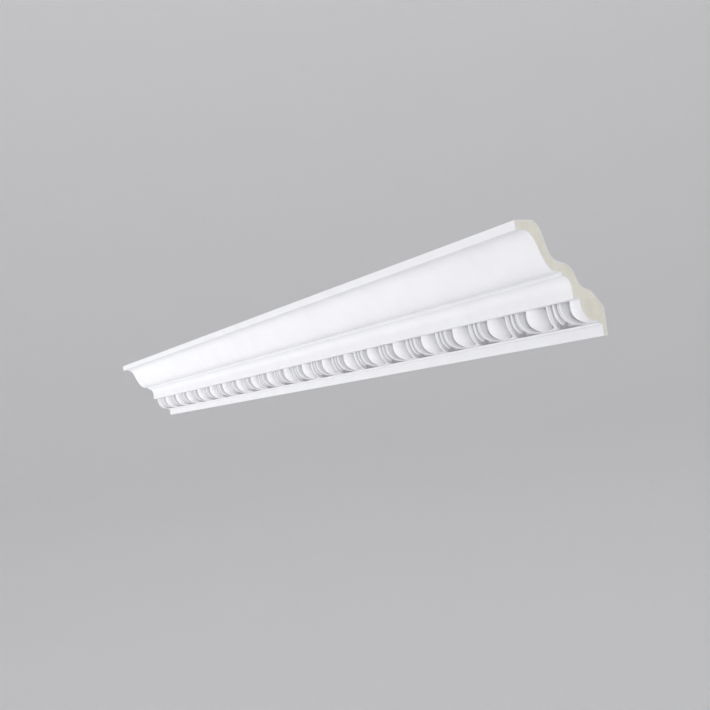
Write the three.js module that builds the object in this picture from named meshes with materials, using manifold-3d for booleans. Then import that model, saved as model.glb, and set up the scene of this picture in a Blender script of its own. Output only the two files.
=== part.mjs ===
// A straight length of egg-and-dart cornice moulding, moulded in one piece and sawn square at both ends.
// Millimetres. X runs along the length, +Y points into the wall, Z is up.
// The origin is the middle of the strip that is glued to the wall.

import * as THREE from "three";
import { mergeVertices } from "three/addons/utils/BufferGeometryUtils.js";
import Module from "manifold-3d";

// Overall sizes
const HEIGHT = 115; // down the wall
const PROJECTION = 98; // out along the ceiling
const REPEAT = 65; // from one egg to the next
const REPEATS = 20; // eggs in the length
const LENGTH = REPEAT * REPEATS;
const CUT_OFFSET = 4.75; // each saw cut falls this far past the middle of an egg
const WALL_STRIP = 26; // height of the face on the wall
const CEILING_STRIP = 21.6; // width of the face on the ceiling

// Plain mouldings of the front, given as heights above the bottom edge and distances out from the wall
const TOP_FILLET = 9.5; // height of the square edge at the ceiling
const CYMA_TOP = { out: 91.5, up: HEIGHT - TOP_FILLET };
const CYMA_MIDDLE = { out: 73, up: 86 };
const CYMA_BOTTOM = { out: 54, up: 64.2 };
const CYMA_TOP_PULL = 11.7; // how far the curve is drawn along its flat start
const CYMA_BOTTOM_PULL = 10; // and along its flat end
const CYMA_SLOPE = { out: -3.4, up: -8.6 }; // its direction where it turns from hollow to round
const SHELF_OUT = 49.2; // the little fillet under the cyma
const SHELF_FILLET = 3.7;
const COVE_OUT = 10.7; // the cove is a quarter ellipse
const COVE_UP = 13.3;
const FRIEZE_OUT = SHELF_OUT - COVE_OUT; // the flat above the eggs
const FRIEZE_BOTTOM = 37.7;
const LIP_OUT = 9.7; // the thin lip that closes the carving below
const LIP_UP = 12.9;
const LIP_BACK = { out: 7.2, up: 11.2 };
const NOTCH = { out: 6.5, up: 12.2 }; // a fine groove under the lip
const BOTTOM_FILLET_OUT = 5.7;
const BOTTOM_FILLET_UP = 11;

// The hollow back, drawn as cubic curves from the ceiling down to the wall: two handles, then the end
const BACK_CURVES = [
  [70.5, 112, 67, 105, 64.6, 95],
  [62.2, 84.5, 58.5, 75.2, 49.5, 74.1],
  [40, 73, 34.5, 68.5, 31.7, 60],
  [29.3, 51.5, 25.8, 48, 19.5, 46.7],
  [16.2, 46, 14.2, 44.4, 12, 42],
  [8, 37.6, 6, 35, 2.4, 31],
  [0.9, 29.4, 0, 28, 0, WALL_STRIP],
];
const CURVE_SEGMENTS = 6;

// The carved ovolo: a quarter of a rounded square that the egg crowns follow
const OVOLO = { out: 10.6, up: FRIEZE_BOTTOM };
const OVOLO_OUT = 20.8;
const OVOLO_DOWN = 24;
const OVOLO_POWER = 2.25; // 2 would be an ellipse, and more is fuller

// The carving is drawn as U-shaped rings round each egg. Half widths are at the top of the ovolo, and
// reaches and the other fractions are shares of the way down it.
const EGG_HALF = 14.3;
const EGG_RISE = 8; // how far the crown stands above the hollow round the egg
const EGG_RINGS = 3;
const EGG_SWELL = 0.17; // how much wider the egg gets before it closes
const EGG_SWELL_AT = 0.6;
const EGG_POWER = 0.5; // powers that shape the rings: 1 would be an ellipse, and less is squarer
const SHELL_POWER = 0.78;
const SHELL_HALF = 21.4; // from here outwards the rings belong to the shell
const LIP_HALF = 24.5; // the ring that just touches the lip
const SHELL_RINGS = [
  { half: 17.6, depth: 6.8 }, // bottom of the hollow round the egg
  { half: 20, depth: 3.6 }, // its side
  { half: SHELL_HALF, depth: 0.9 }, // inner edge of the shell
  { half: LIP_HALF, depth: 0.7 },
  { half: 27.3, depth: 0.8 }, // outer edge of the shell
];
const FOOT_HALF = 28.2; // foot of the shell's outer side
const CROWN_REACH = 0.88;
const EGG_REACH = 0.945;
const FOOT_REACH = 1.05; // past 1 the lip cuts the ring off
const SHALLOWING = 0.65; // the hollow and the shell lose this share of their depth towards the lip
const SHALLOW_FROM = 0.7;
const GROOVE_DEPTH = 2.9; // between shell and dart at the top
const POCKET_DEPTH = 10; // of the pocket round the end of the dart
const POCKET_DOWN = [0.42, 0.72]; // fractions over which it deepens
const POCKET_HALF = [11, 17]; // distances from the dart over which it rises to the shell again
const DART_HALF = [2.7, 2]; // at the top and at the lip
const DART_FLAT = 0.75; // share of its width that is flat
const DART_DEPTH = [0.8, 0.2];
const DART_END = [0.7, 0.82]; // fractions over which its end drops into the pocket
const CARVED_ROWS = 7;
const ROW_SPACING = 1.6; // a power that sets the rows closer together at the top

// How the carved band is let into the plain core, in a bed cut for it
const BED_TOP_OUT = 18;
const BED_KNEE_UP = 25;
const BAND_LIFT = 1; // the band runs this far up into the core
const BAND_BACK = [
  { out: 15.5, up: FRIEZE_BOTTOM + BAND_LIFT },
  { out: 7.4, up: 27 },
  { out: 7.4, up: OVOLO.up - OVOLO_DOWN },
];

const MERGE_DISTANCE = 1e-4; // points closer than this are one point
const SAW_SPAN = 4; // the sawn length is cut out by a box this many times the size of the section

const wasm = await Module();
wasm.setup();

// From a distance along, a distance out and a height above the bottom edge to the part's own frame.
function placed(along, out, up) {
  return new THREE.Vector3(along, -out, up - WALL_STRIP / 2);
}

function toSolid(geometry) {
  const bare = geometry.clone();
  bare.deleteAttribute("normal");
  bare.deleteAttribute("uv");
  const merged = mergeVertices(bare, MERGE_DISTANCE);
  return new wasm.Manifold(
    new wasm.Mesh({
      numProp: 3,
      vertProperties: merged.attributes.position.array,
      triVerts: new Uint32Array(merged.index.array),
    }),
  );
}

function toGeometry(solid) {
  const mesh = solid.getMesh();
  const geometry = new THREE.BufferGeometry();
  geometry.setAttribute("position", new THREE.BufferAttribute(mesh.vertProperties, 3));
  geometry.setIndex(new THREE.BufferAttribute(mesh.triVerts, 1));
  geometry.computeVertexNormals();
  return geometry;
}

// The section of the plain core, drawn out from the wall to the left, with a bed where the carving sits.
function coreSection() {
  const shape = new THREE.Shape();
  const lift = -WALL_STRIP / 2;
  const line = (out, up) => shape.lineTo(-out, up + lift);
  const curve = (a, b, c, d, e, f) => shape.bezierCurveTo(-a, b + lift, -c, d + lift, -e, f + lift);
  shape.moveTo(-(PROJECTION - CEILING_STRIP), HEIGHT + lift);
  line(PROJECTION, HEIGHT);
  line(PROJECTION, CYMA_TOP.up);
  line(CYMA_TOP.out, CYMA_TOP.up);
  curve(
    CYMA_TOP.out - CYMA_TOP_PULL,
    CYMA_TOP.up,
    CYMA_MIDDLE.out - CYMA_SLOPE.out,
    CYMA_MIDDLE.up - CYMA_SLOPE.up,
    CYMA_MIDDLE.out,
    CYMA_MIDDLE.up,
  );
  curve(
    CYMA_MIDDLE.out + CYMA_SLOPE.out,
    CYMA_MIDDLE.up + CYMA_SLOPE.up,
    CYMA_BOTTOM.out + CYMA_BOTTOM_PULL,
    CYMA_BOTTOM.up,
    CYMA_BOTTOM.out,
    CYMA_BOTTOM.up,
  );
  const coveTop = CYMA_BOTTOM.up - SHELF_FILLET;
  line(SHELF_OUT, CYMA_BOTTOM.up);
  line(SHELF_OUT, coveTop);
  const coveCentre = coveTop - COVE_UP + lift;
  shape.absellipse(-SHELF_OUT, coveCentre, COVE_OUT, COVE_UP, Math.PI / 2, 0, true);
  line(FRIEZE_OUT, FRIEZE_BOTTOM);
  line(BED_TOP_OUT, FRIEZE_BOTTOM);
  line(LIP_OUT, BED_KNEE_UP);
  line(LIP_OUT, LIP_UP);
  line(LIP_BACK.out, LIP_BACK.up);
  line(NOTCH.out, NOTCH.up);
  line(BOTTOM_FILLET_OUT, BOTTOM_FILLET_UP);
  line(BOTTOM_FILLET_OUT, 0);
  line(0, 0);
  line(0, WALL_STRIP);
  const starts = [[PROJECTION - CEILING_STRIP, HEIGHT], ...BACK_CURVES.map((c) => [c[4], c[5]])];
  for (let i = BACK_CURVES.length - 1; i >= 0; i--) {
    const [a, b, c, d] = BACK_CURVES[i];
    curve(c, d, a, b, ...starts[i]);
  }
  return shape;
}

function core() {
  const geometry = new THREE.ExtrudeGeometry(coreSection(), {
    depth: LENGTH,
    bevelEnabled: false,
    curveSegments: CURVE_SEGMENTS,
  });
  geometry.translate(0, 0, -LENGTH / 2);
  const along = new THREE.Vector3(1, 0, 0);
  const inward = new THREE.Vector3(0, 1, 0);
  const upward = new THREE.Vector3(0, 0, 1);
  geometry.applyMatrix4(new THREE.Matrix4().makeBasis(inward, upward, along));
  return toSolid(geometry);
}

// A point of the ovolo, a fraction t of the way down it, sunk below its face by a depth.
function onOvolo(along, t, depth) {
  const turn = (t * Math.PI) / 2;
  const across = Math.max(0, Math.cos(turn)) ** (2 / OVOLO_POWER);
  const down = Math.sin(turn) ** (2 / OVOLO_POWER);
  const steepness = OVOLO_POWER - 1;
  const normal = new THREE.Vector2(across ** steepness / OVOLO_OUT, -(down ** steepness) / OVOLO_DOWN);
  normal.normalize();
  const out = OVOLO.out + OVOLO_OUT * across - normal.x * depth;
  const up = OVOLO.up - OVOLO_DOWN * down - normal.y * depth;
  return placed(along, out, up);
}

function onBandBack(along, t) {
  const [top, knee, bottom] = BAND_BACK;
  const [from, to, part] = t < 0.5 ? [top, knee, 2 * t] : [knee, bottom, 2 * t - 1];
  const out = THREE.MathUtils.lerp(from.out, to.out, part);
  return placed(along, out, THREE.MathUtils.lerp(from.up, to.up, part));
}

// The rings round one egg, from its middle line out to the foot of its shell, which has no depth of its own.
function rings() {
  const list = [];
  for (let i = 0; i <= EGG_RINGS; i++) {
    const turn = ((i / EGG_RINGS) * Math.PI) / 2;
    list.push({ half: EGG_HALF * Math.sin(turn), depth: EGG_RISE * (1 - Math.cos(turn)) });
  }
  return [...list, ...SHELL_RINGS, { half: FOOT_HALF }];
}

// How far down the ovolo a ring reaches.
function reachOf(half) {
  const { mapLinear } = THREE.MathUtils;
  if (half <= EGG_HALF) return mapLinear(half, 0, EGG_HALF, CROWN_REACH, EGG_REACH);
  if (half <= LIP_HALF) return mapLinear(half, EGG_HALF, LIP_HALF, EGG_REACH, 1);
  return mapLinear(half, LIP_HALF, FOOT_HALF, 1, FOOT_REACH);
}

// The point of a ring that is a share of the way round it: a distance along and a fraction down the ovolo.
function onRing(half, share) {
  const reach = reachOf(half);
  const fromEgg = THREE.MathUtils.mapLinear(half, EGG_HALF, SHELL_HALF, 1, 0);
  const eggShare = THREE.MathUtils.clamp(fromEgg, 0, 1);
  const power = THREE.MathUtils.lerp(SHELL_POWER, EGG_POWER, eggShare);
  const turn = share * Math.asin(Math.min(1, 1 / reach) ** (1 / power));
  const t = reach * Math.sin(turn) ** power;
  const swell = EGG_SWELL * eggShare * Math.sin(((Math.PI / 2) * t) / EGG_SWELL_AT);
  return { along: half * Math.max(0, Math.cos(turn)) ** power * (1 + swell), t };
}

function shallowed(depth, t) {
  return depth * (1 - SHALLOWING * THREE.MathUtils.smoothstep(t, SHALLOW_FROM, 1));
}

// The depth of the ground between shell and dart.
function groundDepth(along, t) {
  const { lerp, smoothstep } = THREE.MathUtils;
  const deep = lerp(GROOVE_DEPTH, POCKET_DEPTH, smoothstep(t, ...POCKET_DOWN));
  const shell = shallowed(SHELL_RINGS[SHELL_RINGS.length - 1].depth, t);
  return lerp(deep, shell, smoothstep(REPEAT / 2 - along, ...POCKET_HALF));
}

// Half of one repeat as rows of points, from the middle of the egg to the middle of the dart.
// Each point is a distance along, a fraction down the ovolo and a depth.
function halfRepeat() {
  const { lerp, smoothstep } = THREE.MathUtils;
  const rows = [];
  for (let row = 0; row <= CARVED_ROWS; row++) {
    const share = (row / CARVED_ROWS) ** ROW_SPACING;
    const points = rings().map(({ half, depth }) => {
      const { along, t } = onRing(half, share);
      return { along, t, depth: depth === undefined ? groundDepth(along, t) : shallowed(depth, t) };
    });
    const t = points[points.length - 1].t;
    const dartHalf = lerp(...DART_HALF, t);
    const dartFoot = REPEAT / 2 - dartHalf;
    const ground = groundDepth(dartFoot, t);
    const crest = lerp(lerp(...DART_DEPTH, t), ground, smoothstep(t, ...DART_END));
    points.push({ along: dartFoot, t, depth: ground });
    points.push({ along: REPEAT / 2 - dartHalf * DART_FLAT, t, depth: crest });
    points.push({ along: REPEAT / 2, t, depth: crest });
    rows.push(points);
  }
  return rows;
}

// The carved band as one closed solid, longer than the length at both ends.
function carvedBand() {
  const corners = [];
  const rows = halfRepeat();
  const columns = rows[0].length - 1;
  const firstOnLip = rings().findIndex((ring) => ring.half === LIP_HALF);
  const triangle = (a, b, c, flip) => {
    if (flip) corners.push(a, c, b);
    else corners.push(a, b, c);
  };
  const quad = (a, b, c, d, flip) => {
    triangle(a, b, c, flip);
    triangle(a, c, d, flip);
  };
  for (let egg = 0; egg <= REPEATS; egg++) {
    const middle = LENGTH / 2 - CUT_OFFSET - egg * REPEAT;
    for (const side of [1, -1]) {
      const flip = side < 0;
      const front = (r, c) => {
        const point = rows[r][c];
        return onOvolo(middle + side * point.along, point.t, point.depth);
      };
      const back = (r, c) => onBandBack(middle + side * rows[r][c].along, rows[r][c].t);
      const lifted = (c) => front(0, c).add(new THREE.Vector3(0, 0, BAND_LIFT));
      for (let c = 0; c < columns; c++) {
        for (let r = 0; r < CARVED_ROWS; r++) {
          quad(front(r, c), front(r + 1, c), front(r + 1, c + 1), front(r, c + 1), flip);
          quad(back(r, c), back(r, c + 1), back(r + 1, c + 1), back(r + 1, c), flip);
        }
        quad(front(0, c), front(0, c + 1), lifted(c + 1), lifted(c), flip);
        quad(lifted(c), lifted(c + 1), back(0, c + 1), back(0, c), flip);
      }
      const last = CARVED_ROWS;
      for (let c = firstOnLip; c < columns; c++) {
        quad(front(last, c), back(last, c), back(last, c + 1), front(last, c + 1), flip);
      }
      const isEnd = (egg === 0 && side > 0) || (egg === REPEATS && side < 0);
      if (isEnd) {
        for (let r = 0; r < CARVED_ROWS; r++) {
          quad(front(r, columns), front(r + 1, columns), back(r + 1, columns), back(r, columns), flip);
        }
        triangle(front(0, columns), back(0, columns), lifted(columns), flip);
      }
    }
  }
  const geometry = new THREE.BufferGeometry().setFromPoints(corners);
  return toSolid(geometry);
}

function sawnLength() {
  const box = new THREE.BoxGeometry(LENGTH, SAW_SPAN * PROJECTION, SAW_SPAN * HEIGHT);
  return toSolid(box);
}

const cornice = core().add(carvedBand().intersect(sawnLength()));

const group = new THREE.Group();
const material = new THREE.MeshStandardMaterial({ color: 0xf1f1f2, roughness: 0.6, metalness: 0 });
const mesh = new THREE.Mesh(toGeometry(cornice), material);
mesh.name = "cornice_length";
group.add(mesh);

export default group;
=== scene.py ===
"""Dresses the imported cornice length: a finely carved mesh, its finishes, a studio and a camera.

The classes hold their sizes in millimetres unless a name says otherwise. Heights are measured up from the
bottom edge and distances out from the wall. The mesh itself is in metres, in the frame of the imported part:
X along the length, +Y into the wall, Z up, with the origin on the middle of the wall strip.
"""

import logging
import math
from dataclasses import dataclass, field
from enum import IntEnum

import bmesh
import bpy
import numpy as np
from mathutils import Matrix, Vector
from mathutils.geometry import intersect_line_line_2d


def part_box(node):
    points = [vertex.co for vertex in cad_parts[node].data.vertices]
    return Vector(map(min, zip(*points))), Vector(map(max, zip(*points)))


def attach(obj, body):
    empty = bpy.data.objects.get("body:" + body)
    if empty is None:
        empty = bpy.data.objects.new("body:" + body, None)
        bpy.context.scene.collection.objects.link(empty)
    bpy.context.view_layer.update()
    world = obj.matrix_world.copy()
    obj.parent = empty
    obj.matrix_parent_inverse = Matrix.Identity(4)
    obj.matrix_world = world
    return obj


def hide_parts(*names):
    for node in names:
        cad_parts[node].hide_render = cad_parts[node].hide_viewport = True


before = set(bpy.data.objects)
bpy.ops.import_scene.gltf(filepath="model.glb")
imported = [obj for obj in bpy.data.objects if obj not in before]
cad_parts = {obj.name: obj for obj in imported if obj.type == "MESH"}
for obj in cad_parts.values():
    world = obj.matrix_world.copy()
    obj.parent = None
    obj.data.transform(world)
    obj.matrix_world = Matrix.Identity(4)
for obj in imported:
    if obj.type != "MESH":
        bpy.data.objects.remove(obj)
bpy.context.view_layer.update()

NODE = "cornice_length"
MM = 0.001
CORNER_ROOM = 0.35  # a rounded corner takes at most this share of the flat beside it
CORNER_CUT = 0.25  # a softened corner is cut at this share of the lines beside it
NOISE_SPAN = (0.3, 0.7)  # nearly all of a noise lies between these values
WAVE_FACTOR = 20  # a wave texture multiplies its scale by this
FILM_SLACK = 0.995  # a point this share of a film inside the outline is still on the film's line

Point = tuple[float, float]
Place = tuple[float, float, float]
Colour = tuple[float, float, float]
Socket = bpy.types.NodeSocket
BLACK: Colour = (0, 0, 0)
WHITE: Colour = (1, 1, 1)
log = logging.getLogger("cornice")


class Surface(IntEnum):
    """The material slots of the moulded piece."""

    SKIN = 0
    FOAM = 1


def cubic(start: Point, first: Point, second: Point, end: Point, steps: int) -> list[Point]:
    """Samples a cubic curve.

    Args:
        start: Where the curve starts.
        first: Its first handle.
        second: Its second handle.
        end: Where it ends.
        steps: How many straight steps it is cut into.

    Returns:
        The points after the start, up to the end.
    """
    t = np.linspace(0, 1, steps + 1)[1:, None]
    a, b, c, d = (np.array(p) for p in (start, first, second, end))
    points = (1 - t) ** 3 * a + 3 * (1 - t) ** 2 * t * b + 3 * (1 - t) * t**2 * c + t**3 * d
    return [tuple(p) for p in points]


def rounded(points: list[Point], radius: float, sharpest: float, steps: int) -> list[Point]:
    """Rounds the sharp corners of an open outline, as a mould leaves them.

    A point is held close beside each rounded corner, so that the flat next to it stays flat when shaded.

    Args:
        points: The outline.
        radius: The radius of the rounding.
        sharpest: The turn in radians from which a corner counts as sharp.
        steps: How many straight steps each rounding has.

    Returns:
        The outline with its corners rounded.
    """
    line = [Vector(p) for p in points]
    result = [line[0]]
    for before, corner, after in zip(line, line[1:], line[2:]):
        inward, outward = corner - before, after - corner
        turn = inward.angle(outward)
        if turn < sharpest:
            result.append(corner)
            continue
        room = CORNER_ROOM * min(inward.length, outward.length)
        reach = min(radius * math.tan(turn / 2), room)
        start = corner - inward.normalized() * reach
        end = corner + outward.normalized() * reach
        result.append(start - inward.normalized() * reach / 2)
        for step in range(steps + 1):
            t = step / steps
            result.append(start.lerp(corner, t).lerp(corner.lerp(end, t), t))
        result.append(end + outward.normalized() * reach / 2)
    result.append(line[-1])
    return [tuple(p) for p in result]


def softened(points: np.ndarray, times: int) -> np.ndarray:
    """Cuts the corners of an open line again and again until it is smooth.

    Args:
        points: The line, one row for each point.
        times: How many times its corners are cut.

    Returns:
        The smoother line, with the same two ends.
    """
    for _ in range(times):
        early = (1 - CORNER_CUT) * points[:-1] + CORNER_CUT * points[1:]
        late = CORNER_CUT * points[:-1] + (1 - CORNER_CUT) * points[1:]
        cut = np.stack([early, late], axis=1).reshape(-1, points.shape[1])
        points = np.vstack([points[:1], cut[1:-1], points[-1:]])
    return points


class NodeTree:
    """A short way to add and link the nodes of one material."""

    def __init__(self, name: str) -> None:
        """Makes a new material with a Principled shader.

        Args:
            name: The material's name.
        """
        self.material = bpy.data.materials.new(name)
        self.material.use_nodes = True
        self.tree = self.material.node_tree
        self.shader = self.tree.nodes["Principled BSDF"]
        self.place = self.add("ShaderNodeTexCoord").outputs["Object"]

    def add(self, kind: str, **values: object) -> bpy.types.Node:
        """Adds a node and sets its properties and sockets.

        Args:
            kind: The node's type name.
            **values: Properties by name, or input sockets by name with underscores for spaces.

        Returns:
            The new node.
        """
        node = self.tree.nodes.new(kind)
        for name, value in values.items():
            if hasattr(node, name):
                setattr(node, name, value)
            else:
                node.inputs[name.replace("_", " ")].default_value = value
        return node

    def link(self, output: Socket, target: Socket) -> None:
        """Links an output socket to an input socket."""
        self.tree.links.new(output, target)

    def noise(self, size: float, detail: float, roughness: float = 0.5) -> Socket:
        """Adds a noise in the object's own space.

        Args:
            size: The size of its blotches in millimetres.
            detail: How many finer layers it has.
            roughness: How strong the finer layers are.

        Returns:
            The socket that gives its value.
        """
        scale = 1 / (size * MM)
        node = self.add("ShaderNodeTexNoise", Scale=scale, Detail=detail, Roughness=roughness)
        self.link(self.place, node.inputs["Vector"])
        return node.outputs["Fac"]

    def fade(self, source: Socket, span: Point, low: Colour, high: Colour) -> Socket:
        """Fades from one colour to another.

        Args:
            source: The value that decides.
            span: The values where the fade starts and ends.
            low: The colour where it starts.
            high: The colour where it ends.

        Returns:
            The socket that gives the colour.
        """
        node = self.add("ShaderNodeValToRGB")
        for element, position, colour in zip(node.color_ramp.elements, span, (low, high)):
            element.position = position
            element.color = (*colour, 1)
        self.link(source, node.inputs["Fac"])
        return node.outputs["Color"]

    def cover(self, share: Socket, under: Colour, over: Socket) -> Socket:
        """Lays one colour over another.

        Args:
            share: How much of the upper colour shows.
            under: The colour that shows where the share is 0.
            over: The colour that shows where it is 1.

        Returns:
            The socket that gives the colour.
        """
        node = self.add("ShaderNodeMix", data_type="RGBA")
        sockets = {socket.identifier: socket for socket in (*node.inputs, *node.outputs)}
        sockets["A_Color"].default_value = (*under, 1)
        self.link(share, sockets["Factor_Float"])
        self.link(over, sockets["B_Color"])
        return sockets["Result_Color"]

    def between(self, source: Socket, low: float, high: float) -> Socket:
        """Spreads a noise over a range of values.

        Args:
            source: The noise.
            low: The value where the noise is low.
            high: The value where it is high.

        Returns:
            The socket that gives the value.
        """
        least, most = NOISE_SPAN
        node = self.add("ShaderNodeMapRange", From_Min=least, From_Max=most, To_Min=low, To_Max=high)
        self.link(source, node.inputs["Value"])
        return node.outputs["Result"]

    def bump(self, height: Socket, depth: float, strength: float, under: Socket | None = None) -> Socket:
        """Adds a bump.

        Args:
            height: The value that gives its height.
            depth: How high it stands, in millimetres.
            strength: How strongly it tells.
            under: The normal of a bump that this one lies on.

        Returns:
            The socket that gives its normal.
        """
        node = self.add("ShaderNodeBump", Strength=strength, Distance=depth * MM)
        self.link(height, node.inputs["Height"])
        if under is not None:
            self.link(under, node.inputs["Normal"])
        return node.outputs["Normal"]


@dataclass(frozen=True)
class PrimerSkin:
    """The matt white primer on the moulded faces, with painted shade that greys its colour in the hollows.
    """

    bright: Colour = (0.85, 0.85, 0.87)
    dull: Colour = (0.825, 0.825, 0.845)
    # Painted shade: the grey laid into hollows and creases, how far the occlusion looks, where it fades in,
    # and its samples.
    hollow_shade: Colour = (0.56, 0.56, 0.59)
    shade_reach: float = 5
    shade_span: Point = (0.25, 0.8)
    shade_samples: int = 8
    blotch: float = 34
    blotch_span: Point = (0.3, 0.62)
    smoothest: float = 0.62
    roughest: float = 0.75
    sheen: float = 5.4
    grain: float = 0.9
    grain_depth: float = 0.05
    grain_strength: float = 0.6
    wave: float = 26
    wave_depth: float = 0.05
    wave_strength: float = 0.5
    specular: float = 0.4

    def material(self) -> bpy.types.Material:
        """Makes the material.

        Returns:
            The material.
        """
        nodes = NodeTree("white_primer")
        inputs = nodes.shader.inputs
        coat = nodes.fade(nodes.noise(self.blotch, detail=4), self.blotch_span, self.dull, self.bright)
        # Painted shade: an ambient-occlusion mask fades the colour to grey in hollows, creases and corners.
        reach = self.shade_reach * MM
        shade_occlusion = nodes.add("ShaderNodeAmbientOcclusion", samples=self.shade_samples, Distance=reach)
        share = nodes.fade(shade_occlusion.outputs["AO"], self.shade_span, BLACK, WHITE)
        nodes.link(nodes.cover(share, self.hollow_shade, coat), inputs["Base Color"])
        sheen = nodes.between(nodes.noise(self.sheen, detail=3), self.smoothest, self.roughest)
        nodes.link(sheen, inputs["Roughness"])
        waves = nodes.bump(nodes.noise(self.wave, detail=2), self.wave_depth, self.wave_strength)
        speckle = nodes.noise(self.grain, detail=2, roughness=0.6)
        nodes.link(nodes.bump(speckle, self.grain_depth, self.grain_strength, waves), inputs["Normal"])
        inputs["Specular IOR Level"].default_value = self.specular
        return nodes.material


@dataclass(frozen=True)
class SawnFoam:
    """The cream rigid foam that the saw cuts lay bare."""

    light: Colour = (0.84, 0.815, 0.73)
    dark: Colour = (0.78, 0.75, 0.66)
    cloud: float = 12
    cloud_span: Point = (0.32, 0.6)
    pore_colour: Colour = (0.62, 0.58, 0.48)
    pore: float = 0.8
    pore_span: Point = (0.06, 0.22)
    pore_depth: float = 0.25
    pore_strength: float = 0.7
    saw_pitch: float = 1.6
    saw_wander: float = 2.5
    saw_depth: float = 0.05
    saw_strength: float = 0.4
    roughness: float = 0.9
    specular: float = 0.2

    def material(self) -> bpy.types.Material:
        """Makes the material.

        Returns:
            The material.
        """
        nodes = NodeTree("cream_foam")
        inputs = nodes.shader.inputs
        clouds = nodes.noise(self.cloud, detail=5, roughness=0.6)
        foam = nodes.fade(clouds, self.cloud_span, self.dark, self.light)
        cells = nodes.add("ShaderNodeTexVoronoi", Scale=1 / (self.pore * MM))
        nodes.link(nodes.place, cells.inputs["Vector"])
        walls = nodes.fade(cells.outputs["Distance"], self.pore_span, BLACK, WHITE)
        nodes.link(nodes.cover(walls, self.pore_colour, foam), inputs["Base Color"])
        pitch = 1 / (self.saw_pitch * MM) / WAVE_FACTOR
        strokes = nodes.add("ShaderNodeTexWave", Scale=pitch, Distortion=self.saw_wander)
        strokes.bands_direction = "DIAGONAL"
        nodes.link(nodes.place, strokes.inputs["Vector"])
        sawn = nodes.bump(strokes.outputs["Fac"], self.saw_depth, self.saw_strength)
        nodes.link(nodes.bump(walls, self.pore_depth, self.pore_strength, sawn), inputs["Normal"])
        inputs["Roughness"].default_value = self.roughness
        inputs["Specular IOR Level"].default_value = self.specular
        return nodes.material


@dataclass(frozen=True)
class StudioPaper:
    """The pale paper of the studio's floor and sides."""

    pale: Colour = (0.72, 0.72, 0.73)
    paler: Colour = (0.76, 0.76, 0.77)
    fibre: float = 4
    roughness: float = 0.95

    def material(self) -> bpy.types.Material:
        """Makes the material.

        Returns:
            The material.
        """
        nodes = NodeTree("studio_paper")
        paper = nodes.fade(nodes.noise(self.fibre, detail=3), NOISE_SPAN, self.pale, self.paler)
        nodes.link(paper, nodes.shader.inputs["Base Color"])
        nodes.shader.inputs["Roughness"].default_value = self.roughness
        return nodes.material


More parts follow.
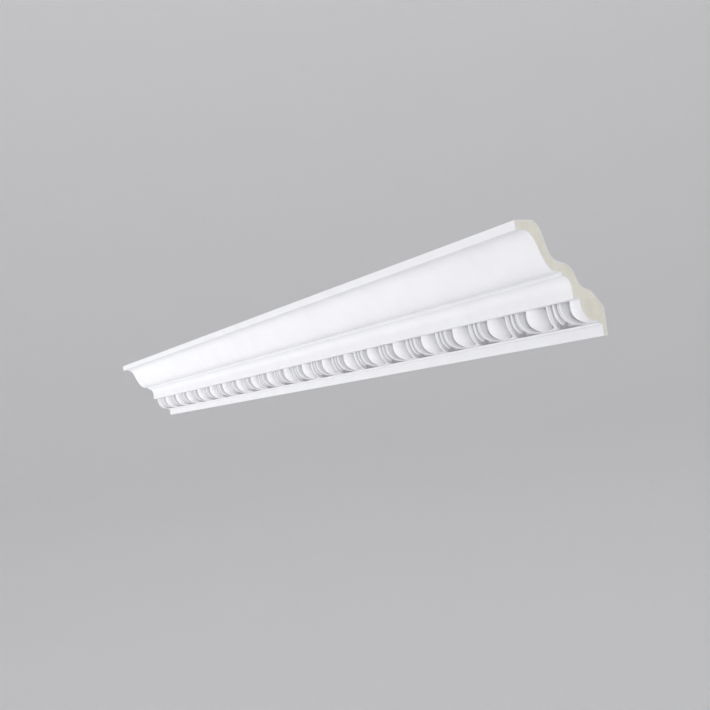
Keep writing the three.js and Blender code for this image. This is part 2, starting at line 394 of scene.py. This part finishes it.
@dataclass
class PlainMouldings:
    """The outline of the section, apart from the carved band."""

    height: float
    projection: float
    wall_strip: float
    ceiling_strip: float = 21.6
    top_fillet: float = 9.5
    cyma_top: float = 91.5
    cyma_middle: Point = (73, 86)
    cyma_bottom: Point = (54, 64.2)
    cyma_top_pull: float = 11.7
    cyma_bottom_pull: float = 10
    cyma_slope: Point = (-3.4, -8.6)
    shelf: float = 49.2
    shelf_fillet: float = 3.7
    cove_out: float = 10.7
    cove_up: float = 13.3
    frieze_bottom: float = 37.7
    soffit: float = 2
    lip_out: float = 9.7
    lip_up: float = 12.9
    lip_front: float = 0.4
    lip_back: Point = (7.2, 11.2)
    notch: Point = (6.5, 12.2)
    bottom_fillet: Point = (5.7, 11)
    back_curves: tuple = (
        (70.5, 112, 67, 105, 64.6, 95),
        (62.2, 84.5, 58.5, 75.2, 49.5, 74.1),
        (40, 73, 34.5, 68.5, 31.7, 60),
        (29.3, 51.5, 25.8, 48, 19.5, 46.7),
        (16.2, 46, 14.2, 44.4, 12, 42),
        (8, 37.6, 6, 35, 2.4, 31),
        (0.9, 29.4, 0, 28, 0, 26),
    )
    curve_steps: int = 14
    arris: float = 0.7
    arris_steps: int = 4
    sharp_turn: float = 0.45

    @property
    def frieze(self) -> float:
        """How far out the plain frieze above the carving stands."""
        return self.shelf - self.cove_out

    def front(self) -> list[Point]:
        """Draws the front from the soffit over the carving up to the ceiling.

        Returns:
            The points, each a distance out and a height.
        """
        cove_top = self.cyma_bottom[1] - self.shelf_fillet
        cove_foot = cove_top - self.cove_up
        turns = np.linspace(0, math.pi / 2, self.curve_steps + 1)
        cove = [
            (self.shelf - self.cove_out * math.cos(turn), cove_foot + self.cove_up * math.sin(turn))
            for turn in turns
        ]
        cyma_start = (self.cyma_top, self.height - self.top_fillet)
        middle = Vector(self.cyma_middle)
        slope = Vector(self.cyma_slope)
        round_part = cubic(
            self.cyma_bottom,
            (self.cyma_bottom[0] + self.cyma_bottom_pull, self.cyma_bottom[1]),
            tuple(middle + slope),
            self.cyma_middle,
            self.curve_steps,
        )
        hollow_part = cubic(
            self.cyma_middle,
            tuple(middle - slope),
            (self.cyma_top - self.cyma_top_pull, cyma_start[1]),
            cyma_start,
            self.curve_steps,
        )
        return [
            (self.frieze - self.soffit, self.frieze_bottom),
            (self.frieze, self.frieze_bottom),
            *cove,
            (self.shelf, self.cyma_bottom[1]),
            self.cyma_bottom,
            *round_part,
            *hollow_part,
            (self.projection, cyma_start[1]),
            (self.projection, self.height),
        ]

    def back(self) -> list[Point]:
        """Draws the hollow back from the ceiling down to the wall.

        Returns:
            The points, each a distance out and a height.
        """
        points = [(self.projection - self.ceiling_strip, self.height)]
        for a, b, c, d, e, f in self.back_curves:
            points += cubic(points[-1], (a, b), (c, d), (e, f), self.curve_steps // 2)
        return points

    def foot(self) -> list[Point]:
        """Draws the foot from the wall strip round to the front of the lip.

        Returns:
            The points, each a distance out and a height.
        """
        return [
            (0, 0),
            (self.bottom_fillet[0], 0),
            self.bottom_fillet,
            self.notch,
            self.lip_back,
            (self.lip_out, self.lip_up),
            (self.lip_out, self.lip_up + self.lip_front),
        ]

    def outline(self) -> np.ndarray:
        """Draws the whole outline, from the soffit over the carving round to the lip below it.

        Returns:
            One row for each point: a distance out and a height.
        """
        points = [*self.front(), *self.back(), *self.foot()]
        return np.array(rounded(points, self.arris, self.sharp_turn, self.arris_steps))


@dataclass
class EggAndDart:
    """The carved ovolo band.

    The carving is a set of U-shaped rings round each egg. Half widths are measured from the egg's middle at
    the top of the ovolo, and cup and rims are pairs of a half width and a depth. Reaches, and where pocket
    and dart start and end, are fractions of the way down the ovolo.
    """

    centre: Point = (10.6, 37.7)
    ovolo_out: float = 20.8
    ovolo_down: float = 24
    ovolo_power: float = 2.25
    repeat: float = 65
    egg_half: float = 14.3
    egg_swell: float = 0.17
    swell_at: float = 0.6
    egg_rise: float = 8
    egg_roundness: float = 0.5
    shell_roundness: float = 0.78
    crease_half: float = 15.3
    cup: tuple = ((17.6, 6.8), (20, 3.6))
    inner_rim: tuple = ((21.4, 0.9), (24.5, 0.7))
    rim_line: tuple = ((24.9, 1.3), (25.3, 1.3))
    outer_rim: tuple = ((25.8, 0.7), (27.3, 0.8))
    foot_half: float = 28.2
    touching_half: float = 24.5
    crown_reach: float = 0.88
    egg_reach: float = 0.945
    foot_reach: float = 1.05
    shallow_from: float = 0.7
    shallow: float = 0.65
    groove_depth: float = 2.9
    pocket_depth: float = 10
    pocket_down: Point = (0.42, 0.72)
    pocket_half: Point = (11, 17)
    pocket_back: float = 0.5
    pocket_sill: float = 0.1
    quirk: float = 0.3
    dart_half: Point = (2.7, 2)
    dart_depth: Point = (0.8, 0.2)
    dart_edge: float = 4
    dart_end: Point = (0.7, 0.82)
    egg_steps: int = 8
    softening: int = 1
    floor_steps: int = 6
    over_dart: tuple = (0.97, 0.88, 0.7, 0.45, 0.2, 0)
    rows: int = 30
    row_spacing: float = 1.5

    def across(self) -> np.ndarray:
        """Draws the carving across, from an egg's middle line to the foot of its shell.

        Returns:
            One row for each ring: half its width, its depth, and its share of the depth beside the dart.
        """
        turn = np.linspace(0, math.pi / 2, self.egg_steps + 1)
        egg = np.column_stack([self.egg_half * np.sin(turn), self.egg_rise * (1 - np.cos(turn))])
        crease = (self.crease_half, self.egg_rise)
        foot = (self.foot_half, self.outer_rim[-1][1])
        line = np.vstack([egg, crease, self.cup, self.inner_rim, self.rim_line, self.outer_rim, foot])
        share = np.zeros((len(line), 1))
        share[-1] = 1
        rings = softened(np.hstack([line, share]), self.softening)
        touching = np.array([np.interp(self.touching_half, rings[:, 0], rings[:, k]) for k in range(3)])
        rings = np.vstack([rings, touching])
        return rings[np.argsort(rings[:, 0])]

    def reach(self, half: np.ndarray) -> np.ndarray:
        """Says how far down the ovolo each ring reaches.

        Args:
            half: Half the width of each ring.

        Returns:
            The reach of each ring, where 1 is the lip.
        """
        marks = (0, self.egg_half, self.touching_half, self.foot_half)
        return np.interp(half, marks, (self.crown_reach, self.egg_reach, 1, self.foot_reach))

    def roundness(self, half: np.ndarray) -> np.ndarray:
        """Says how round each ring is: an egg's end is fuller than its shell.

        Args:
            half: Half the width of each ring.

        Returns:
            The power that shapes each ring, where 1 is an ellipse.
        """
        fuller = self.shell_roundness - self.egg_roundness
        return self.shell_roundness - fuller * self.egg_share(half)

    def egg_share(self, half: np.ndarray) -> np.ndarray:
        """Says how far each ring follows the egg: 1 on the egg and 0 from the inner rim outwards."""
        return np.interp(half, (self.egg_half, self.inner_rim[0][0]), (1, 0))

    def eased(self, t: np.ndarray, start: float, end: float) -> np.ndarray:
        """Eases from 0 to 1 between two places down the ovolo."""
        part = np.clip((t - start) / (end - start), 0, 1)
        return part * part * (3 - 2 * part)

    def ground(self, t: np.ndarray, along: np.ndarray, rim: np.ndarray) -> np.ndarray:
        """Says how deep the ground beside the dart lies.

        Args:
            t: Fractions of the way down the ovolo.
            along: Distances from the middle of the egg.
            rim: The depths of the shell's rim, to which the ground rises under the egg.

        Returns:
            The depths.
        """
        deeper = self.pocket_depth - self.groove_depth
        deep = self.groove_depth + deeper * self.eased(t, *self.pocket_down)
        return deep + (rim - deep) * self.eased(self.repeat / 2 - along, *self.pocket_half)

    def half_repeat(self) -> tuple[np.ndarray, int]:
        """Lays out half a repeat, from the middle of an egg to the middle of a dart.

        Returns:
            Rows of points, each a distance along, a distance out and a height, and the column of the ring
            that just touches the lip.
        """
        half, depth, share = self.across().T
        reach, power = self.reach(half), self.roundness(half)
        last = np.arcsin(np.minimum(1, 1 / reach) ** (1 / power))
        turn = np.linspace(0, 1, self.rows + 1)[:, None] ** self.row_spacing * last
        t = reach * np.sin(turn) ** power
        swell = self.egg_swell * np.sin(math.pi / 2 * t / self.swell_at) * self.egg_share(half)
        along = half * np.maximum(0, np.cos(turn)) ** power * (1 + swell)
        sunk = depth * (1 - self.shallow * self.eased(t, self.shallow_from, 1))
        rim = sunk[:, -1:]
        sunk = sunk + share * (self.ground(t, along, rim) - sunk)

        foot_t, foot_along = t[:, -1:], along[:, -1:]
        dart_half = self.dart_half[0] + (self.dart_half[1] - self.dart_half[0]) * foot_t
        dart_foot = self.repeat / 2 - dart_half
        over_floor = foot_along + (dart_foot - foot_along) * np.linspace(0, 1, self.floor_steps + 1)[1:]
        floor = self.ground(foot_t, over_floor, rim)
        crest = self.dart_depth[0] + (self.dart_depth[1] - self.dart_depth[0]) * foot_t
        crest = crest + (floor[:, -1:] - crest) * self.eased(foot_t, *self.dart_end)
        over_dart = np.array(self.over_dart)
        along = np.hstack([
            along,
            over_floor,
            self.repeat / 2 - dart_half * over_dart,
        ])
        sunk = np.hstack([
            sunk,
            floor,
            crest + (floor[:, -1:] - crest) * over_dart**self.dart_edge,
        ])
        t = np.hstack([t, np.repeat(foot_t, self.floor_steps + len(over_dart), axis=1)])
        touching = int(np.argmin(np.abs(half - self.touching_half)))
        return np.dstack([along, *self.on_ovolo(t, sunk)]), touching

    def on_ovolo(self, t: np.ndarray, depth: np.ndarray) -> tuple[np.ndarray, np.ndarray]:
        """Places points on the ovolo.

        Args:
            t: Fractions of the way down it.
            depth: How far each point is sunk below its face.

        Returns:
            The distances out and the heights.
        """
        turn = t * math.pi / 2
        across = np.maximum(0, np.cos(turn)) ** (2 / self.ovolo_power)
        down = np.sin(turn) ** (2 / self.ovolo_power)
        steepness = self.ovolo_power - 1
        normal = np.stack([across**steepness / self.ovolo_out, -(down**steepness) / self.ovolo_down])
        normal /= np.linalg.norm(normal, axis=0)
        out = self.centre[0] + self.ovolo_out * across - normal[0] * depth
        up = self.centre[1] - self.ovolo_down * down - normal[1] * depth
        return out, up


@dataclass
class CorniceLength:
    """The moulded length: plain mouldings, carved band and sawn ends in one closed piece."""

    low: Vector
    high: Vector
    cut_offset: float = 4.75
    primer_film: float = 0.7
    crease: float = math.radians(38)
    weld: float = 1e-6
    points: list = field(default_factory=list)
    faces: list = field(default_factory=list)

    def __post_init__(self) -> None:
        """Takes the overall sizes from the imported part's box."""
        self.length = (self.high.x - self.low.x) / MM
        self.wall_strip = -2 * self.low.z / MM
        height = (self.high.z - self.low.z) / MM
        self.mouldings = PlainMouldings(height, -self.low.y / MM, self.wall_strip)
        self.carving = EggAndDart()

    def placed(self, along: np.ndarray, out: np.ndarray, up: np.ndarray) -> np.ndarray:
        """Turns distances along, out and up into the part's own frame, in metres.

        Args:
            along: Distances along the length from its middle.
            out: Distances out from the wall.
            up: Heights above the bottom edge.

        Returns:
            The points, with x, y and z last.
        """
        return np.stack(np.broadcast_arrays(along, -out, up - self.wall_strip / 2), axis=-1) * MM

    def add_points(self, points: np.ndarray) -> list[int]:
        """Adds points to the mesh and gives their numbers."""
        start = len(self.points)
        self.points.extend(map(tuple, points))
        return list(range(start, len(self.points)))

    def add_grid(self, grid: np.ndarray) -> None:
        """Adds a sheet of four-sided faces.

        Args:
            grid: Rows and columns of points.
        """
        rows, columns = grid.shape[:2]
        numbers = np.array(self.add_points(grid.reshape(-1, 3))).reshape(rows, columns)
        corners = (numbers[:-1, :-1], numbers[1:, :-1], numbers[1:, 1:], numbers[:-1, 1:])
        self.faces.extend(map(tuple, np.stack(corners, axis=-1).reshape(-1, 4).tolist()))

    def middles(self) -> np.ndarray:
        """Gives the places of the egg middles, from past one end to past the other."""
        repeat = self.carving.repeat
        first = self.length / 2 - self.cut_offset
        return first - repeat * np.arange(round(self.length / repeat) + 1)

    def carve(self) -> None:
        """Adds the carved band with the soffit above it and the front of the lip below it."""
        outline = self.mouldings.outline()
        half, touching = self.carving.half_repeat()
        pocket_up = half[-1, touching:, 2]
        rise = pocket_up - pocket_up[0]
        back = self.mouldings.lip_out - self.carving.quirk - self.carving.pocket_back * rise
        sill = outline[-1, 1] + self.carving.pocket_sill * rise
        for middle in self.middles():
            for side in (1, -1):
                along = middle + side * half[..., 0]
                self.add_grid(self.placed(along, half[..., 1], half[..., 2]))
                ends = np.array([along[0, -1], along[0, 0]])
                soffit = self.placed(ends, outline[0, 0], outline[0, 1])
                top = self.placed(along[0], half[0, :, 1], half[0, :, 2])
                self.faces.append(tuple(self.add_points(np.vstack([top, soffit]))))
                bottom = self.placed(along[-1, touching:], half[-1, touching:, 1], half[-1, touching:, 2])
                wall = self.placed(along[-1, touching:], back, pocket_up)
                foot = self.placed(along[-1, touching:], back, sill)
                self.add_grid(np.stack([bottom, wall, foot]))
                nose = self.placed(ends, outline[-1, 0], outline[-1, 1])
                self.faces.append(tuple(self.add_points(np.vstack([foot, nose]))))

    def run_mouldings(self) -> None:
        """Adds the plain mouldings, the back, the wall strip and the ceiling strip."""
        outline = self.mouldings.outline()
        repeat = self.carving.repeat
        middles = self.middles()
        stations = np.sort(np.concatenate([middles, middles + repeat / 2, middles[-1:] - repeat / 2]))
        self.add_grid(self.placed(stations[:, None], outline[None, :, 0], outline[None, :, 1]))

    def film_line(self, loop: np.ndarray) -> tuple[np.ndarray, np.ndarray]:
        """Draws the line where the primer film meets the foam on a sawn end.

        Args:
            loop: The outline of the sawn end in order, each point a y and a z.

        Returns:
            For each point of the outline the point one film inside it, and whether that point is on the
            line or in a small loop that a tight corner makes.
        """
        film = self.primer_film * MM
        ahead = np.roll(loop, -1, axis=0) - loop
        area = np.sum(loop[:, 0] * np.roll(loop[:, 1], -1) - loop[:, 1] * np.roll(loop[:, 0], -1))
        inward = np.column_stack([-ahead[:, 1], ahead[:, 0]]) * np.sign(area)
        inward /= np.linalg.norm(inward, axis=1, keepdims=True)
        inward += np.roll(inward, 1, axis=0)
        inward /= np.linalg.norm(inward, axis=1, keepdims=True)
        moved = loop + inward * film
        to_start = moved[:, None] - loop[None]
        part = np.clip(np.sum(to_start * ahead, axis=2) / np.sum(ahead**2, axis=1), 0, 1)
        gaps = np.linalg.norm(to_start - part[..., None] * ahead, axis=2).min(axis=1)
        return moved, self.untied(moved, gaps > film * FILM_SLACK)

    def untied(self, line: np.ndarray, kept: np.ndarray, span: int = 8) -> np.ndarray:
        """Leaves out the points where a closed line makes a small loop across itself.

        Args:
            line: The points of the line.
            kept: Which of them are on the line.
            span: The longest loop looked for, in points.

        Returns:
            Which points are still on the line.
        """
        kept = kept.copy()
        order = np.flatnonzero(kept)
        count = len(order)
        for first in range(count):
            for far in range(2, span):
                pair = [order[(first + k) % count] for k in (0, 1, far, far + 1)]
                if intersect_line_line_2d(*line[pair]):
                    kept[[order[(first + k) % count] for k in range(1, far + 1)]] = False
        return kept

    def saw(self, mesh: bmesh.types.BMesh) -> None:
        """Saws both ends square and shows the foam inside a thin film of primer.

        Args:
            mesh: The mesh, longer than the length at both ends.
        """
        for end in (self.low, self.high):
            facing = Vector((math.copysign(1, end.x), 0, 0))
            everything = [*mesh.verts, *mesh.edges, *mesh.faces]
            cut = bmesh.ops.bisect_plane(
                mesh, geom=everything, plane_co=(end.x, 0, 0), plane_no=facing, clear_outer=True
            )
            skin_edges = [e for e in cut["geom_cut"] if isinstance(e, bmesh.types.BMEdge)]
            outline = self.in_order(skin_edges)
            line, kept = self.film_line(np.array([v.co.yz for v in outline]))
            inner = [mesh.verts.new((end.x, y, z)) for y, z in line[kept]]
            beside = np.cumsum(kept) - 1
            for k, vert in enumerate(outline):
                ring = [outline[k - 1], vert, inner[beside[k]], inner[beside[k - 1]]]
                mesh.faces.new(list(dict.fromkeys(ring)))
            mesh.faces.new(inner).material_index = Surface.FOAM

    def in_order(self, edges: list[bmesh.types.BMEdge]) -> list[bmesh.types.BMVert]:
        """Puts the points of a closed loop of edges in order.

        Args:
            edges: The edges of the loop, in any order.

        Returns:
            The loop's points, one after another.
        """
        left = set(edges)
        line = [edges[0].verts[0]]
        while left:
            edge = next(e for e in line[-1].link_edges if e in left)
            left.remove(edge)
            line.append(edge.other_vert(line[-1]))
        return line[:-1]

    def build(self) -> bpy.types.Object:
        """Builds the closed mesh.

        Returns:
            The moulded piece.
        """
        self.carve()
        self.run_mouldings()
        data = bpy.data.meshes.new("moulded_cornice")
        data.from_pydata(self.points, [], self.faces)
        mesh = bmesh.new()
        mesh.from_mesh(data)
        bmesh.ops.remove_doubles(mesh, verts=mesh.verts, dist=self.weld)
        self.saw(mesh)
        bmesh.ops.recalc_face_normals(mesh, faces=mesh.faces)
        for face in mesh.faces:
            face.smooth = True
        for edge in mesh.edges:
            edge.smooth = edge.calc_face_angle(math.pi) < self.crease
        open_edges = sum(not edge.is_manifold for edge in mesh.edges)
        log.info("moulded_cornice: %d faces, %d open edges", len(mesh.faces), open_edges)
        mesh.to_mesh(data)
        mesh.free()
        piece = bpy.data.objects.new("moulded_cornice", data)
        bpy.context.scene.collection.objects.link(piece)
        return piece

    def dress(self, piece: bpy.types.Object) -> None:
        """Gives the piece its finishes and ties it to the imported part.

        Args:
            piece: The moulded piece.
        """
        piece.data.materials.append(PrimerSkin().material())
        piece.data.materials.append(SawnFoam().material())
        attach(piece, "root")
        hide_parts(NODE)


@dataclass(frozen=True)
class SoftLamp:
    """A square soft lamp, placed in metres, with its power in watts."""

    name: str
    place: Place
    aim: Place
    size: float
    power: float
    spread: float = math.radians(100)

    def hang(self) -> None:
        """Hangs the lamp so that it faces its aim."""
        data = bpy.data.lights.new(self.name, "AREA")
        data.size = self.size
        data.energy = self.power
        data.spread = self.spread
        lamp = bpy.data.objects.new(self.name, data)
        lamp.visible_camera = False
        lamp.location = self.place
        lamp.rotation_euler = (Vector(self.place) - Vector(self.aim)).to_track_quat("Z", "Y").to_euler()
        bpy.context.scene.collection.objects.link(lamp)


@dataclass
class Studio:
    """A round paper bowl that serves as floor and backdrop from every side, with soft lamps in it."""

    floor: float = -2.4
    flat_radius: float = 4.5
    bowl: float = 2.0
    rim: float = 6.0
    segments: int = 96
    bend_steps: int = 16
    weld: float = 1e-5
    sky: Colour = WHITE
    sky_strength: float = 1.1
    lamps: tuple[SoftLamp, ...] = (
        SoftLamp("low_lamp", place=(-2.4, -2.4, -1.2), aim=(0.9, 0, 0.03), size=1, power=29),
        SoftLamp("end_lamp", place=(3.2, -0.9, 0.3), aim=(0.65, -0.05, 0), size=1.6, power=6.2),
    )

    def build_floor(self) -> bpy.types.Object:
        """Builds the floor, which bends up into the backdrop.

        Returns:
            The floor.
        """
        turns = np.linspace(0, math.pi / 2, self.bend_steps + 1)
        bend = [
            (self.flat_radius + self.bowl * math.sin(turn), self.floor + self.bowl * (1 - math.cos(turn)))
            for turn in turns
        ]
        profile = [(0, self.floor), *bend, (self.flat_radius + self.bowl, self.rim)]
        mesh = bmesh.new()
        line = [mesh.verts.new((radius, 0, height)) for radius, height in profile]
        edges = [mesh.edges.new(pair) for pair in zip(line, line[1:])]
        bmesh.ops.spin(
            mesh,
            geom=[*line, *edges],
            axis=(0, 0, 1),
            cent=(0, 0, 0),
            angle=2 * math.pi,
            steps=self.segments,
            use_merge=True,
        )
        bmesh.ops.remove_doubles(mesh, verts=mesh.verts, dist=self.weld)
        bmesh.ops.recalc_face_normals(mesh, faces=mesh.faces)
        for face in mesh.faces:
            face.smooth = True
        data = bpy.data.meshes.new("studio_floor")
        mesh.to_mesh(data)
        mesh.free()
        data.materials.append(StudioPaper().material())
        floor = bpy.data.objects.new("studio_floor", data)
        bpy.context.scene.collection.objects.link(floor)
        return floor

    def light(self) -> None:
        """Lights the studio with a soft sky and lamps."""
        world = bpy.data.worlds.new("studio_sky")
        world.use_nodes = True
        sky = world.node_tree.nodes["Background"]
        sky.inputs["Color"].default_value = (*self.sky, 1)
        sky.inputs["Strength"].default_value = self.sky_strength
        bpy.context.scene.world = world
        bpy.context.scene.view_settings.view_transform = "Standard"
        for lamp in self.lamps:
            lamp.hang()


@dataclass
class PhotoCamera:
    """The camera at the photograph's place."""

    eye: Vector = field(default_factory=lambda: Vector((1.2949, -0.6650, -0.0527)))
    aim: Vector = field(default_factory=lambda: Vector((0.43423, -0.15924, 0.00563)))
    roll: float = math.radians(-7.383)
    lens: float = 46.577
    sensor: float = 36
    nearest: float = 0.01

    def build(self) -> bpy.types.Object:
        """Places the camera and makes it the scene's own.

        Returns:
            The camera.
        """
        data = bpy.data.cameras.new("photo_camera")
        data.lens = self.lens
        data.sensor_width = self.sensor
        data.clip_start = self.nearest
        camera = bpy.data.objects.new("photo_camera", data)
        facing = (self.eye - self.aim).to_track_quat("Z", "Y").to_matrix().to_4x4()
        camera.matrix_world = Matrix.Translation(self.eye) @ facing @ Matrix.Rotation(self.roll, 4, "Z")
        bpy.context.scene.collection.objects.link(camera)
        bpy.context.scene.camera = camera
        return camera


def main() -> None:
    """Builds the camera, the moulded piece and the studio."""
    logging.basicConfig(level=logging.INFO, format="%(name)s: %(message)s")
    PhotoCamera().build()
    low, high = (Vector(corner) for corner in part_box(NODE))
    cornice = CorniceLength(low, high)
    cornice.dress(cornice.build())
    studio = Studio()
    floor = studio.build_floor()
    studio.light()
    log.info("%s: %d faces", floor.name, len(floor.data.polygons))


if __name__ == "__main__":
    main()
